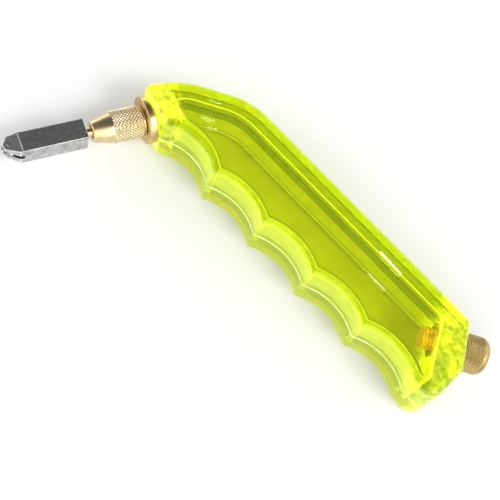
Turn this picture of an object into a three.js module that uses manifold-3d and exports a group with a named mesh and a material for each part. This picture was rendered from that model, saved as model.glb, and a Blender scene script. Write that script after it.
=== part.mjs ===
// Oil-fed pistol-grip glass cutter, in millimetres, lying on one flat side of its handle.
// The design frame has its origin where the nose axis meets the front of the handle:
// +X runs back from the cutting wheel, +Y towards the back of the hand and Z through the thickness.
import * as THREE from 'three';
import * as BufferGeometryUtils from 'three/addons/utils/BufferGeometryUtils.js';
import Module from 'manifold-3d';

const wasm = await Module();
wasm.setup();

// ---------------------------------------------------------------- driving dimensions

const gap = 0.3; // clearance left between parts that touch
const overrun = 3; // how far a cutting body runs past the face it opens
const threadPitch = 1.0;
const threadDepth = 0.25;
const sealRoom = 0.2; // space round a seal in its groove
const radians = THREE.MathUtils.degToRad;
const point = (x, y) => new THREE.Vector2(x, y);
const along = (start, direction, distance) => start.clone().addScaledVector(direction, distance);

// Handle outline
const handleThickness = 18;
const edgeRadius = 1.6;
const gripAngle = radians(67.7); // the grip slopes down from the nose axis
const shoulderAngle = radians(33.3); // the slope between the flat crown and the back
const crownAngle = radians(1.3); // the slope of the flat crown
const crownRadius = 28;
const shoulderPoint = point(19.2, 0.06);
const shoulderRadius = 22;
const browCorner = point(-1.35, 6.63); // upper front corner, standing round the collar
const frontFoot = point(0.18, -5.2); // lower end of the front face
const chin = point(2.1, -8.85); // front end of the finger grooves
const buttBackCorner = point(62.68, -89.18);
const buttMiddleCorner = point(53.65, -101.4);
const buttFingerCorner = point(40.38, -106.89);
const smallCornerRadius = 2.2;
const fingerCornerRadius = 4.2;

// Finger grooves
const firstCusp = point(7.92, -25.49);
const groovePitch = 19.9;
const grooveDepth = 3.0;
const chinGrooveDepth = 2.7;
const grooveCount = 4; // equal grooves behind the shorter one at the chin

// Oil reservoir inside the handle
const reservoirDepth = 13.6;
const reservoirEdge = 1.2;
const backWall = 4.5;
const fingerWall = 2.8;
const reservoirFront = 6.0;
const reservoirButtBack = point(56.07, -85.79);
const reservoirButtFinger = point(42.7, -102);
const reservoirCorner = 1.6;
const reservoirCrown = 0.66; // height of the reservoir's top at its front end
const reservoirCrownRadius = 7;

// Nose stack, measured along the nose axis from the front of the handle
const shankRadius = 3.3;
const bushBore = shankRadius + gap;
const bushRadius = 4.8;
const bushLength = 8.2;
const bushHoleEnd = 9.5;
const bushRibPitch = 1.6;
const bushRibDepth = 0.35;
const bossRadius = 6.3;
const bossEnd = 8.5;
const collarRadius = 7.2;
const collarLength = 2.4;
const collarChamfer = 0.35;
const collarSealRadius = 5.3;
const collarSealSection = 0.5;
const sleeveRadius = 4.5;
const sleeveChamfer = 0.4;
const knurlDepth = 0.22;
const knurlSpacing = 0.85;
const knurlMargin = 0.6; // plain band at each end of the knurl
const knurlEnd = -13.2;
const coneEnd = -18.5;
const coneTipRadius = 3.1;
const sleeveRear = 6.5;
const sleeveBore = 2.1;
const lipBore = 1.8;
const lipLength = 2.5;
const sleeveSealCentre = 5.4;
const sleeveSealRadius = 3.0;
const sleeveSealSection = 0.3;
const spindleRadius = 1.5;
const flangeThickness = 1.2;
const spindleFront = -26.5;
const tailRadius = 1.0;
const tailEnd = 2.8;
const tailBore = 0.6;
const wickBore = 0.7;

// Valve and return spring, round the spindle's tail
const looseBore = tailRadius + gap;
const washerThickness = 0.3;
const seatFront = -2.4;
const seatRear = -0.4;
const discRear = 1.1;
const clipLength = 0.5;
const discRadius = 1.8;
const wireRadius = 0.2;
const springRadius = 1.56;
const springTurns = 8;
const flatTurns = 0.7; // part of a turn lying flat at each end of the spring

// Cutting head
const headRear = -20.2;
const headWidth = 6.4;
const headThickness = 6.4;
const headTip = -44.7;
const upperShoulder = -42.5;
const lowerShoulder = -39.9;
const cheekStart = -39.2;
const cheekTipHalf = 1.5;
const tipFlat = 0.9;
const slotWidth = 1.5;
const slotEnd = -38.7;
const wheelRadius = 2.2;
const wheelThickness = 0.95;
const wheelBevel = 0.7;
const wheelLand = 0.1; // half the thickness left at the cutting edge
const wheelSetback = 2.55;
const axleRadius = 0.5;
const axleHalf = 2.25; // ends flush with the sloping cheeks
const axleClearance = 0.12;

// Filler plug, measured outwards from the butt facet along its own axis
const plugShift = 1.75; // the plug sits this far from the facet's middle, towards the back
const plugRadius = 5.4;
const plugShoulder = 7.2;
const plugEnd = 8.9;
const plugTipRadius = 3.8;
const plugChamfer = 0.4;
const plugSealRadius = 4.5;
const plugSealSection = 0.4;
const fillerShankRadius = 3.3;
const fillerShankEnd = -11.5;
const fillerShankChamfer = 0.6;
const fillerBushRadius = 4.9;
const fillerBushLength = 8.0;
const fillerHoleDepth = 11;

// ---------------------------------------------------------------- materials

const finishes = {
  clearPlastic: { color: 0xc6dc0a, roughness: 0.08, metalness: 0 },
  brass: { color: 0xc9a55c, roughness: 0.35, metalness: 1 },
  steel: { color: 0x8d8d90, roughness: 0.3, metalness: 1 },
  carbide: { color: 0x55575c, roughness: 0.22, metalness: 1 },
  rubber: { color: 0x1c1c1c, roughness: 0.8, metalness: 0 },
  cotton: { color: 0xe8e2d2, roughness: 0.95, metalness: 0 },
};

function part(name, finish, geometry) {
  const mesh = new THREE.Mesh(geometry, new THREE.MeshStandardMaterial(finishes[finish]));
  mesh.name = name;
  return mesh;
}

// ---------------------------------------------------------------- solids

function toSolid(geometry) {
  const bare = geometry.clone();
  bare.deleteAttribute('normal');
  bare.deleteAttribute('uv');
  const merged = BufferGeometryUtils.mergeVertices(bare, 1e-4);
  const corners = [];
  for (let index = 0; index < merged.index.count; index += 3) {
    const [a, b, c] = merged.index.array.subarray(index, index + 3);
    if (a !== b && b !== c && c !== a) {
      corners.push(a, b, c);
    }
  }
  return new wasm.Manifold(new wasm.Mesh({
    numProp: 3,
    vertProperties: new Float32Array(merged.attributes.position.array),
    triVerts: new Uint32Array(corners),
  }));
}

function toGeometry(solid) {
  const mesh = solid.getMesh();
  const geometry = new THREE.BufferGeometry();
  geometry.setAttribute('position', new THREE.BufferAttribute(mesh.vertProperties, 3));
  geometry.setIndex(new THREE.BufferAttribute(mesh.triVerts, 1));
  geometry.computeVertexNormals();
  return geometry;
}

// A body turned about the nose axis; each profile entry is [distance along +X, radius].
function turned(profile, segments = 32) {
  const points = profile.map(([distance, radius]) => point(radius, distance));
  return new THREE.LatheGeometry(points, segments).rotateZ(-Math.PI / 2);
}

// A turned ring: its section is closed by returning to the first corner.
function turnedRing(profile, segments = 32) {
  return turned([...profile, profile[0]], segments);
}

function plainRing(start, end, innerRadius, outerRadius, segments = 32) {
  return turnedRing([[start, innerRadius], [start, outerRadius], [end, outerRadius], [end, innerRadius]],
    segments);
}

function rod(start, end, radius, segments = 32) {
  return turned([[start, 0], [start, radius], [end, radius], [end, 0]], segments);
}

function sealRing(centre, ringRadius, sectionRadius) {
  const torus = new THREE.TorusGeometry(ringRadius, sectionRadius, 8, 24);
  return torus.rotateY(Math.PI / 2).translate(centre, 0, 0);
}

// Raises every other vertex of the rows between two distances, which leaves a diamond knurl.
function knurl(geometry, start, end, segments) {
  const position = geometry.attributes.position;
  const rowCount = position.count / (segments + 1);
  for (let index = 0; index < position.count; index += 1) {
    const turn = Math.floor(index / rowCount);
    const row = index % rowCount;
    const distance = position.getX(index);
    const inside = distance > start && distance < end;
    const radius = Math.hypot(position.getY(index), position.getZ(index));
    if (inside && radius > shankRadius + gap && (turn + row) % 2 === 0) {
      const scale = 1 + knurlDepth / radius;
      position.setY(index, position.getY(index) * scale);
      position.setZ(index, position.getZ(index) * scale);
    }
  }
  geometry.computeVertexNormals();
  return geometry;
}

function evenRows(start, end, radius, spacing) {
  const count = Math.round(Math.abs(end - start) / spacing);
  return Array.from({ length: count + 1 }, (_, row) => [start + ((end - start) * row) / count, radius]);
}

// Shallow thread grooves along a cylinder, as [distance, radius] pairs.
function threadRows(start, end, radius, pitch, depth) {
  const step = Math.sign(end - start) * pitch;
  const count = Math.floor(Math.abs(end - start) / pitch);
  const rows = [];
  for (let turn = 0; turn < count; turn += 1) {
    rows.push([start + turn * step, radius], [start + (turn + 0.5) * step, radius - depth]);
  }
  return [...rows, [start + count * step, radius], [end, radius]];
}

// ---------------------------------------------------------------- handle outline

const gripDirection = point(Math.cos(gripAngle), -Math.sin(gripAngle));
const inward = point(Math.sin(gripAngle), Math.cos(gripAngle)); // from the grooves to the back
const shoulderDirection = point(Math.cos(shoulderAngle), -Math.sin(shoulderAngle));
const crownDirection = point(Math.cos(crownAngle), -Math.sin(crownAngle));

function crossing(start, direction, otherStart, otherDirection) {
  const between = otherStart.clone().sub(start);
  const distance = between.cross(otherDirection) / direction.cross(otherDirection);
  return along(start, direction, distance);
}

// Draws to a corner and rounds it with an arc that is tangent to both sides.
function roundCorner(path, before, corner, after, radius) {
  const back = before.clone().sub(corner).normalize();
  const forward = after.clone().sub(corner).normalize();
  const halfAngle = Math.acos(THREE.MathUtils.clamp(back.dot(forward), -1, 1)) / 2;
  const tangentLength = radius / Math.tan(halfAngle);
  const centre = along(corner, back.clone().add(forward).normalize(), radius / Math.sin(halfAngle));
  const entry = along(corner, back, tangentLength).sub(centre).angle();
  const exit = along(corner, forward, tangentLength).sub(centre).angle();
  const clockwise = back.cross(forward) > 0;
  path.absarc(centre.x, centre.y, radius, entry, exit, clockwise);
}

function roundCorners(path, corners) {
  for (let index = 1; index < corners.length - 1; index += 1) {
    const [before, corner, after] = corners.slice(index - 1, index + 2);
    roundCorner(path, before.at, corner.at, after.at, corner.radius);
  }
}

// One finger groove, drawn from its butt end to its nose end as a circular arc.
function groove(path, buttEnd, noseEnd, radius) {
  const chord = noseEnd.clone().sub(buttEnd);
  const middle = along(buttEnd, chord, 0.5);
  const outward = point(chord.y, -chord.x).normalize().negate();
  const centre = along(middle, outward, Math.sqrt(radius ** 2 - chord.lengthSq() / 4));
  const entry = buttEnd.clone().sub(centre).angle();
  const exit = noseEnd.clone().sub(centre).angle();
  path.absarc(centre.x, centre.y, radius, entry, exit, false);
}

const arcRadius = (chord, depth) => chord ** 2 / (8 * depth) + depth / 2;
const grooveRadius = arcRadius(groovePitch, grooveDepth);
const chinGrooveRadius = arcRadius(firstCusp.distanceTo(chin), chinGrooveDepth);
const lastCusp = along(firstCusp, gripDirection, groovePitch * grooveCount);

// How far the cusps retreat when the grooves are cut deeper by a wall.
function cuspInset(wall) {
  const flatHalf = (radius) => Math.sqrt(radius ** 2 - (groovePitch / 2) ** 2);
  return flatHalf(grooveRadius + wall) - flatHalf(grooveRadius);
}

function grooveRow(path, wall) {
  for (let count = grooveCount; count > 0; count -= 1) {
    const shift = cuspInset(wall);
    const buttEnd = along(along(firstCusp, gripDirection, groovePitch * count), inward, shift);
    const noseEnd = along(buttEnd, gripDirection, -groovePitch);
    groove(path, buttEnd, noseEnd, grooveRadius + wall);
  }
}

// The outline's corner points, with those that two neighbouring curves share taken once.
function outlinePoints(path) {
  const points = path.getPoints(5);
  return points.filter((current, index) => current.distanceTo(points.at(index - 1)) > 0.01);
}

function handleOutline() {
  const crownCorner = crossing(browCorner, crownDirection, shoulderPoint, shoulderDirection);
  const shoulderCorner = crossing(shoulderPoint, shoulderDirection, buttBackCorner, gripDirection);
  const shape = new THREE.Shape();
  shape.moveTo(frontFoot.x, frontFoot.y);
  roundCorners(shape, [
    { at: frontFoot },
    { at: browCorner, radius: smallCornerRadius },
    { at: crownCorner, radius: crownRadius },
    { at: shoulderCorner, radius: shoulderRadius },
    { at: buttBackCorner, radius: smallCornerRadius },
    { at: buttMiddleCorner, radius: smallCornerRadius },
    { at: buttFingerCorner, radius: fingerCornerRadius },
    { at: lastCusp },
  ]);
  shape.lineTo(lastCusp.x, lastCusp.y);
  grooveRow(shape, 0);
  groove(shape, firstCusp, chin, chinGrooveRadius);
  shape.quadraticCurveTo(frontFoot.x, chin.y + 1, frontFoot.x, frontFoot.y);
  return new THREE.Shape(outlinePoints(shape));
}

function reservoirOutline() {
  const crownStart = point(reservoirFront, reservoirCrown);
  const shoulderWall = along(shoulderPoint, point(Math.sin(shoulderAngle), Math.cos(shoulderAngle)),
    -backWall);
  const crownCorner = crossing(crownStart, crownDirection, shoulderWall, shoulderDirection);
  const shoulderCorner = crossing(shoulderWall, shoulderDirection, reservoirButtBack, gripDirection);
  const firstInnerCusp = along(firstCusp, inward, cuspInset(fingerWall));
  const lastInnerCusp = along(lastCusp, inward, cuspInset(fingerWall));
  const frontEnd = point(reservoirFront, chin.y + fingerWall);
  const shape = new THREE.Shape();
  shape.moveTo(frontEnd.x, frontEnd.y);
  roundCorners(shape, [
    { at: frontEnd },
    { at: crownStart, radius: reservoirCorner },
    { at: crownCorner, radius: reservoirCrownRadius },
    { at: shoulderCorner, radius: shoulderRadius - backWall },
    { at: reservoirButtBack, radius: reservoirCorner },
    { at: reservoirButtFinger, radius: reservoirCorner },
    { at: lastInnerCusp },
  ]);
  shape.lineTo(lastInnerCusp.x, lastInnerCusp.y);
  grooveRow(shape, fingerWall);
  groove(shape, firstInnerCusp, frontEnd, chinGrooveRadius + fingerWall);
  return new THREE.Shape(outlinePoints(shape));
}

// A slab centred on the mid-plane with rounded edges.
function roundedSlab(outline, thickness, edge, edgeSteps) {
  const geometry = new THREE.ExtrudeGeometry(outline, {
    depth: thickness - 2 * edge,
    bevelThickness: edge,
    bevelSize: edge,
    bevelOffset: -edge,
    bevelSegments: edgeSteps,
  });
  return geometry.translate(0, 0, edge - thickness / 2);
}

// ---------------------------------------------------------------- butt facet and plug axis

const facetDirection = buttBackCorner.clone().sub(buttMiddleCorner).normalize();
const facetMiddle = buttBackCorner.clone().add(buttMiddleCorner).multiplyScalar(0.5);
const plugSeat = along(facetMiddle, facetDirection, plugShift);
const plugAngle = facetDirection.angle() - Math.PI / 2;

// Moves a body from the nose axis to the plug axis.
function onPlugAxis(geometry) {
  return geometry.rotateZ(plugAngle).translate(plugSeat.x, plugSeat.y, 0);
}

// ---------------------------------------------------------------- handle

const reach = 200; // longer than the whole handle

function handleBody() {
  const boss = toSolid(rod(0, bossEnd, bossRadius, 48));
  const reservoir = toSolid(roundedSlab(reservoirOutline(), reservoirDepth, reservoirEdge, 2));
  const spotFace = toSolid(rod(-reservoirFront, 0, collarRadius + gap, 48));
  const bushHole = toSolid(rod(-reservoirFront, bushHoleEnd, bushRadius + gap));
  const fillerHole = toSolid(onPlugAxis(rod(-fillerHoleDepth, overrun, fillerBushRadius + gap)));
  return toSolid(roundedSlab(handleOutline(), handleThickness, edgeRadius, 3))
    .subtract(reservoir.subtract(boss))
    .subtract(spotFace)
    .subtract(bushHole)
    .subtract(fillerHole);
}

function handleHalf(body, side) {
  const block = new THREE.BoxGeometry(reach, 2 * reach, reach);
  const middle = side * (reach / 2 + gap / 2);
  return toGeometry(body.intersect(toSolid(block.translate(reach / 4, 0, middle))));
}

// ---------------------------------------------------------------- nose

function frontBush() {
  return turnedRing([
    [gap, bushBore],
    ...threadRows(gap, bushLength, bushRadius, bushRibPitch, bushRibDepth),
    [bushLength, bushBore],
  ]);
}

function noseCollar() {
  const rear = -gap;
  const front = rear - collarLength;
  const sealFloor = rear - 2 * collarSealSection - sealRoom;
  const sealInner = collarSealRadius - collarSealSection - sealRoom;
  const sealOuter = collarSealRadius + collarSealSection + sealRoom;
  return turnedRing([
    [front, bushBore],
    [front, collarRadius - collarChamfer],
    [front + collarChamfer, collarRadius],
    [rear - collarChamfer, collarRadius],
    [rear, collarRadius - collarChamfer],
    [rear, sealOuter],
    [sealFloor, sealOuter],
    [sealFloor, sealInner],
    [rear, sealInner],
    [rear, bushBore],
  ], 48);
}

function noseSleeve() {
  const shoulder = -2 * gap - collarLength;
  const sealStart = sleeveSealCentre - sleeveSealSection - sealRoom;
  const sealEnd = sleeveSealCentre + sleeveSealSection + sealRoom;
  const sealFloor = sleeveSealRadius - sleeveSealSection - sealRoom;
  const segments = 36;
  const profile = [
    [coneEnd, lipBore],
    [coneEnd, coneTipRadius - sleeveChamfer],
    [coneEnd + sleeveChamfer, coneTipRadius],
    [knurlEnd, sleeveRadius],
    ...evenRows(knurlEnd + knurlMargin, shoulder - knurlMargin, sleeveRadius, knurlSpacing),
    [shoulder, sleeveRadius],
    [shoulder, shankRadius],
    ...threadRows(-threadPitch, sealStart - sealRoom, shankRadius, threadPitch, threadDepth),
    [sealStart, shankRadius],
    [sealStart, sealFloor],
    [sealEnd, sealFloor],
    [sealEnd, shankRadius],
    [sleeveRear, shankRadius],
    [sleeveRear, sleeveBore],
    [coneEnd + lipLength, sleeveBore],
    [coneEnd + lipLength, lipBore],
  ];
  return knurl(turnedRing(profile, segments), knurlEnd, shoulder, segments);
}

function spindle() {
  const flangeFront = coneEnd + lipLength + gap;
  const flangeRear = flangeFront + flangeThickness;
  return turnedRing([
    [spindleFront, wickBore],
    [spindleFront, spindleRadius],
    [flangeFront, spindleRadius],
    [flangeFront, sleeveBore - gap],
    [flangeRear, sleeveBore - gap],
    [flangeRear, tailRadius],
    [tailEnd, tailRadius],
    [tailEnd, tailBore],
    [flangeFront, tailBore],
    [flangeFront, wickBore],
  ]);
}

// The middle of a spring wire wound about the nose axis, lying flat for part of a turn at each end.
class SpringPath extends THREE.Curve {
  constructor(start, end) {
    super();
    this.start = start;
    this.end = end;
  }

  getPoint(fraction, target = new THREE.Vector3()) {
    const angle = fraction * springTurns * 2 * Math.PI;
    const rise = (fraction * springTurns - flatTurns) / (springTurns - 2 * flatTurns);
    return target.set(
      THREE.MathUtils.lerp(this.start, this.end, THREE.MathUtils.clamp(rise, 0, 1)),
      springRadius * Math.cos(angle),
      springRadius * Math.sin(angle),
    );
  }
}

function returnSpring(start, end) {
  const section = new THREE.Shape().absarc(0, 0, wireRadius, 0, 2 * Math.PI, false);
  return new THREE.ExtrudeGeometry(section, {
    curveSegments: 3,
    steps: springTurns * 14,
    extrudePath: new SpringPath(start + wireRadius, end - wireRadius),
  });
}

// ---------------------------------------------------------------- cutting head

const upperFace = point(upperShoulder - headTip, headWidth / 2);
const lowerFace = point(lowerShoulder - headTip, -headWidth / 2);
const tipAxis = upperFace.clone().normalize().add(lowerFace.clone().normalize()).normalize();
const tip = point(headTip, 0);
const wheelCentre = along(tip, tipAxis, wheelSetback);

function headBlock() {
  const halfWidth = headWidth / 2;
  const halfThickness = headThickness / 2;
  const tipCorner = (face) => {
    const direction = face.clone().normalize();
    return along(tip, direction, tipFlat / direction.dot(tipAxis));
  };
  const profile = new THREE.Shape([
    point(headRear, halfWidth),
    point(upperShoulder, halfWidth),
    tipCorner(upperFace),
    tipCorner(lowerFace),
    point(lowerShoulder, -halfWidth),
    point(headRear, -halfWidth),
  ]);
  const cheeks = new THREE.Shape([
    point(headRear, halfThickness),
    point(cheekStart, halfThickness),
    point(headTip, cheekTipHalf),
    point(headTip, -cheekTipHalf),
    point(cheekStart, -halfThickness),
    point(headRear, -halfThickness),
  ]);
  const flat = { bevelEnabled: false };
  const side = new THREE.ExtrudeGeometry(profile, { ...flat, depth: headThickness });
  const plan = new THREE.ExtrudeGeometry(cheeks, { ...flat, depth: 2 * headWidth });
  side.translate(0, 0, -halfThickness);
  plan.rotateX(Math.PI / 2).translate(0, headWidth, 0);
  const slotLength = slotEnd - headTip + overrun;
  const slot = new THREE.BoxGeometry(slotLength, 2 * headWidth, slotWidth);
  slot.translate(slotEnd - slotLength / 2, 0, 0);
  const socket = rod(spindleFront - gap, headRear + overrun, spindleRadius + gap, 24);
  const oilWay = rod(slotEnd - overrun, spindleFront, wickBore, 16);
  return toGeometry(toSolid(side)
    .intersect(toSolid(plan))
    .subtract(toSolid(slot))
    .subtract(toSolid(socket))
    .subtract(toSolid(oilWay))
    .subtract(toSolid(axlePin(axleRadius + axleClearance, axleHalf + overrun))));
}

// A pin across the head at the wheel centre.
function axlePin(radius, half) {
  const pin = new THREE.CylinderGeometry(radius, radius, 2 * half, 16).rotateX(Math.PI / 2);
  return pin.translate(wheelCentre.x, wheelCentre.y, 0);
}

function cuttingWheel() {
  const half = wheelThickness / 2;
  const bore = axleRadius + axleClearance;
  const hubRadius = wheelRadius - wheelBevel;
  const wheel = turnedRing([
    [-half, bore],
    [-half, hubRadius],
    [-wheelLand, wheelRadius],
    [wheelLand, wheelRadius],
    [half, hubRadius],
    [half, bore],
  ]);
  wheel.rotateY(-Math.PI / 2);
  return wheel.translate(wheelCentre.x, wheelCentre.y, 0);
}

// ---------------------------------------------------------------- filler plug

function fillerPlug() {
  const underside = 2 * gap;
  const sealFloor = gap + 2 * plugSealSection + sealRoom;
  const sealInner = plugSealRadius - plugSealSection - sealRoom;
  const sealOuter = plugSealRadius + plugSealSection + sealRoom;
  const segments = 36;
  const profile = [
    [fillerShankEnd, 0],
    [fillerShankEnd, fillerShankRadius - fillerShankChamfer],
    ...threadRows(fillerShankEnd + fillerShankChamfer, -threadPitch, fillerShankRadius, threadPitch,
      threadDepth),
    [underside, fillerShankRadius],
    [underside, sealInner],
    [sealFloor, sealInner],
    [sealFloor, sealOuter],
    [underside, sealOuter],
    [underside, plugRadius - plugChamfer / 2],
    ...evenRows(underside + plugChamfer, plugShoulder - plugChamfer, plugRadius, knurlSpacing),
    [plugShoulder, plugRadius],
    [plugEnd - plugChamfer, plugTipRadius + plugChamfer],
    [plugEnd, plugTipRadius - plugChamfer],
    [plugEnd, 0],
  ];
  return knurl(turned(profile, segments), underside, plugShoulder, segments);
}

// ---------------------------------------------------------------- assembly

const springFront = coneEnd + lipLength + gap + flangeThickness + gap;
const washerRear = seatFront - gap;
const washerFront = washerRear - washerThickness;
const discFront = seatRear + gap;
const clipFront = discRear + gap;
const body = handleBody();

const tool = new THREE.Group();
tool.add(
  part('handle_near_shell', 'clearPlastic', handleHalf(body, 1)),
  part('handle_far_shell', 'clearPlastic', handleHalf(body, -1)),
  part('front_bush', 'brass', frontBush()),
  part('nose_collar', 'brass', noseCollar()),
  part('collar_seal', 'rubber', sealRing(-gap - collarSealSection, collarSealRadius, collarSealSection)),
  part('nose_sleeve', 'brass', noseSleeve()),
  part('sleeve_seal', 'rubber', sealRing(sleeveSealCentre, sleeveSealRadius, sleeveSealSection)),
  part('spindle', 'brass', spindle()),
  part('return_spring', 'steel', returnSpring(springFront, washerFront - gap)),
  part('spring_washer', 'steel', plainRing(washerFront, washerRear, looseBore, discRadius)),
  part('valve_seat', 'brass', plainRing(seatFront, seatRear, looseBore, sleeveBore - gap)),
  part('valve_disc', 'rubber', plainRing(discFront, discRear, looseBore, discRadius)),
  part('valve_clip', 'steel', plainRing(clipFront, clipFront + clipLength, looseBore, discRadius)),
  part('head_block', 'steel', headBlock()),
  part('oil_wick', 'cotton', rod(slotEnd + gap, coneEnd + lipLength, wickBore - gap, 12)),
  part('wheel_axle', 'steel', axlePin(axleRadius, axleHalf)),
  part('cutting_wheel', 'carbide', cuttingWheel()),
  part('filler_bush', 'brass', onPlugAxis(
    plainRing(-fillerBushLength, -gap, fillerShankRadius + gap, fillerBushRadius))),
  part('plug_seal', 'rubber', onPlugAxis(
    sealRing(gap + plugSealSection, plugSealRadius, plugSealSection))),
  part('filler_plug', 'brass', onPlugAxis(fillerPlug())),
);

// The row frame starts under the middle of the tool, on the surface that it lies on.
const extent = new THREE.Box3().setFromObject(tool);
const centre = extent.getCenter(new THREE.Vector3());
tool.position.set(-centre.x, -centre.y, -extent.min.z);

export default tool;
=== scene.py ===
"""Looks of the oil-fed glass cutter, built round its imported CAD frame."""
import math

import bmesh
import bpy
import numpy as np
from mathutils import Matrix, Vector


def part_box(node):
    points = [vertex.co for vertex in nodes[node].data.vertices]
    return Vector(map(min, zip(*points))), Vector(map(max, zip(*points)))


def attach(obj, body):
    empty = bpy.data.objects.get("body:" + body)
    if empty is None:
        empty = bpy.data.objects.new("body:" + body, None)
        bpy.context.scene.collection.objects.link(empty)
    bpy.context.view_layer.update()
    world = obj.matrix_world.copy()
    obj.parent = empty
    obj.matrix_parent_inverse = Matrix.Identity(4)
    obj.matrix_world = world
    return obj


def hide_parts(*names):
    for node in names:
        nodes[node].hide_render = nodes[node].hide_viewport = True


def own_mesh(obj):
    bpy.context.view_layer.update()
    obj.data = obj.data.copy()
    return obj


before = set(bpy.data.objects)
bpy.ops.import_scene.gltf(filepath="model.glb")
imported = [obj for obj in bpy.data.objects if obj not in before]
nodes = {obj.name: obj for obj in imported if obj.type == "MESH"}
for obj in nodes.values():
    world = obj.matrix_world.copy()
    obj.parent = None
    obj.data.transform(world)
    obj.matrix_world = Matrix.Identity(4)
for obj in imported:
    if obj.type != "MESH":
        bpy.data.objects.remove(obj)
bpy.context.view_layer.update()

# ---------------- frame of the design
# Shapes are drawn in millimetres about the point where the nose axis meets the handle.

GAP = 0.3
collar_low, collar_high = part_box("nose_collar")
ORIGIN = Vector((
    collar_high.x * 1000 + GAP,
    (collar_low.y + collar_high.y) * 500,
    (collar_low.z + collar_high.z) * 500,
))


def to_row(x, y, z):
    return Vector((x + ORIGIN.x, y + ORIGIN.y, z + ORIGIN.z)) / 1000


# ---------------- camera

FOCAL_PIXELS = 967.18
FRAME_PIXELS = 500
SENSOR = 36.0
RIGHT = Vector((0.901038, -0.369779, 0.226702))
DOWN = Vector((-0.255487, -0.874849, -0.411540))
FORWARD = Vector((0.350509, 0.312893, -0.882747))
SHIFT = Vector((-29.1727, -38.6818, 284.9447))
CLIP_START, CLIP_END = 0.01, 20


def add_camera():
    data = bpy.data.cameras.new("camera")
    data.sensor_width = SENSOR
    data.lens = FOCAL_PIXELS * SENSOR / FRAME_PIXELS
    data.clip_start, data.clip_end = CLIP_START, CLIP_END
    camera = bpy.data.objects.new("camera", data)
    bpy.context.scene.collection.objects.link(camera)
    camera.location = to_row(*-(RIGHT * SHIFT.x + DOWN * SHIFT.y + FORWARD * SHIFT.z))
    camera.rotation_mode = "QUATERNION"
    camera.rotation_quaternion = Matrix((RIGHT, -DOWN, -FORWARD)).transposed().to_quaternion()
    bpy.context.scene.camera = camera


# ---------------- outlines
# An outline is a ring of lines and hollow arcs. Each corner is rounded, and the whole ring can be inset.

class Line:
    """A straight side of an outline, running clockwise."""

    def __init__(self, start, end):
        self.start = np.array(start, float)
        step = np.array(end, float) - self.start
        self.direction = step / np.linalg.norm(step)
        # the solid lies to the right
        self.inward = np.array([self.direction[1], -self.direction[0]])

    def inset(self, depth):
        moved = Line.__new__(Line)
        moved.start = self.start + self.inward * depth
        moved.direction, moved.inward = self.direction, self.inward
        return moved

    def nearest(self, point):
        return self.start + self.direction * ((point - self.start) @ self.direction)


class Hollow:
    """A circular arc whose centre lies outside the solid, as a finger groove's does."""

    def __init__(self, centre, radius):
        self.centre = np.array(centre, float)
        self.radius = radius

    def inset(self, depth):
        return Hollow(self.centre, self.radius + depth)

    def nearest(self, point):
        away = point - self.centre
        return self.centre + away * self.radius / np.linalg.norm(away)


def groove_between(start, end, depth):
    """The arc that cuts depth into the solid between two cusps, taken clockwise."""
    start, end = np.array(start, float), np.array(end, float)
    chord = np.linalg.norm(end - start)
    radius = chord ** 2 / (8 * depth) + depth / 2
    return arc_between(start, end, radius)


def arc_between(start, end, radius):
    start, end = np.array(start, float), np.array(end, float)
    step = end - start
    chord = np.linalg.norm(step)
    outward = np.array([-step[1], step[0]]) / chord
    centre = (start + end) / 2 + outward * math.sqrt(radius ** 2 - chord ** 2 / 4)
    return Hollow(centre, radius)


def meet(a, b, near):
    """Where two outline parts cross, at the crossing closest to a point."""
    if isinstance(a, Line) and isinstance(b, Line):
        matrix = np.array([a.direction, -b.direction]).T
        share = np.linalg.solve(matrix, b.start - a.start)
        return a.start + a.direction * share[0]
    if isinstance(a, Hollow) and isinstance(b, Hollow):
        step = b.centre - a.centre
        distance = np.linalg.norm(step)
        along = (distance ** 2 + a.radius ** 2 - b.radius ** 2) / (2 * distance)
        aside = math.sqrt(max(a.radius ** 2 - along ** 2, 0))
        unit = step / distance
        across = np.array([-unit[1], unit[0]])
        found = [a.centre + unit * along + across * aside * sign for sign in (1, -1)]
    else:
        line, arc = (a, b) if isinstance(a, Line) else (b, a)
        foot = line.nearest(arc.centre)
        half = math.sqrt(max(arc.radius ** 2 - np.sum((foot - arc.centre) ** 2), 0))
        found = [foot + line.direction * half * sign for sign in (1, -1)]
    return min(found, key=lambda p: np.linalg.norm(p - near))


def sweep(centre, start, end, count):
    """Points on the short arc from start to end about a centre."""
    a, b = start - centre, end - centre
    first = math.atan2(a[1], a[0])
    turn = math.atan2(b[1], b[0]) - first
    turn = (turn + math.pi) % (2 * math.pi) - math.pi
    radius = np.linalg.norm(a)
    angles = first + turn * np.linspace(0, 1, count)
    return [centre + radius * np.array([math.cos(t), math.sin(t)]) for t in angles]


def ring_points(parts, corners, depth):
    """The outline inset by depth. corners are (point, radius, steps), one before each part."""
    entries, exits, arcs = [], [], []
    for index, (near, radius, steps) in enumerate(corners):
        before, after = parts[index - 1], parts[index]
        total = max(radius, depth + 1e-4)
        centre = meet(before.inset(total), after.inset(total), np.array(near, float))
        leave = before.inset(depth).nearest(centre)
        enter = after.inset(depth).nearest(centre)
        arcs.append(sweep(centre, leave, enter, steps))
        entries.append(enter)
        exits.append(leave)
    points = []
    for index, part in enumerate(parts):
        points += arcs[index]
        if isinstance(part, Hollow):
            inner = sweep(part.centre, entries[index], exits[(index + 1) % len(parts)], ARC_STEPS)
            points += inner[1:-1]
    return points


# ---------------- handle dimensions

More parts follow.
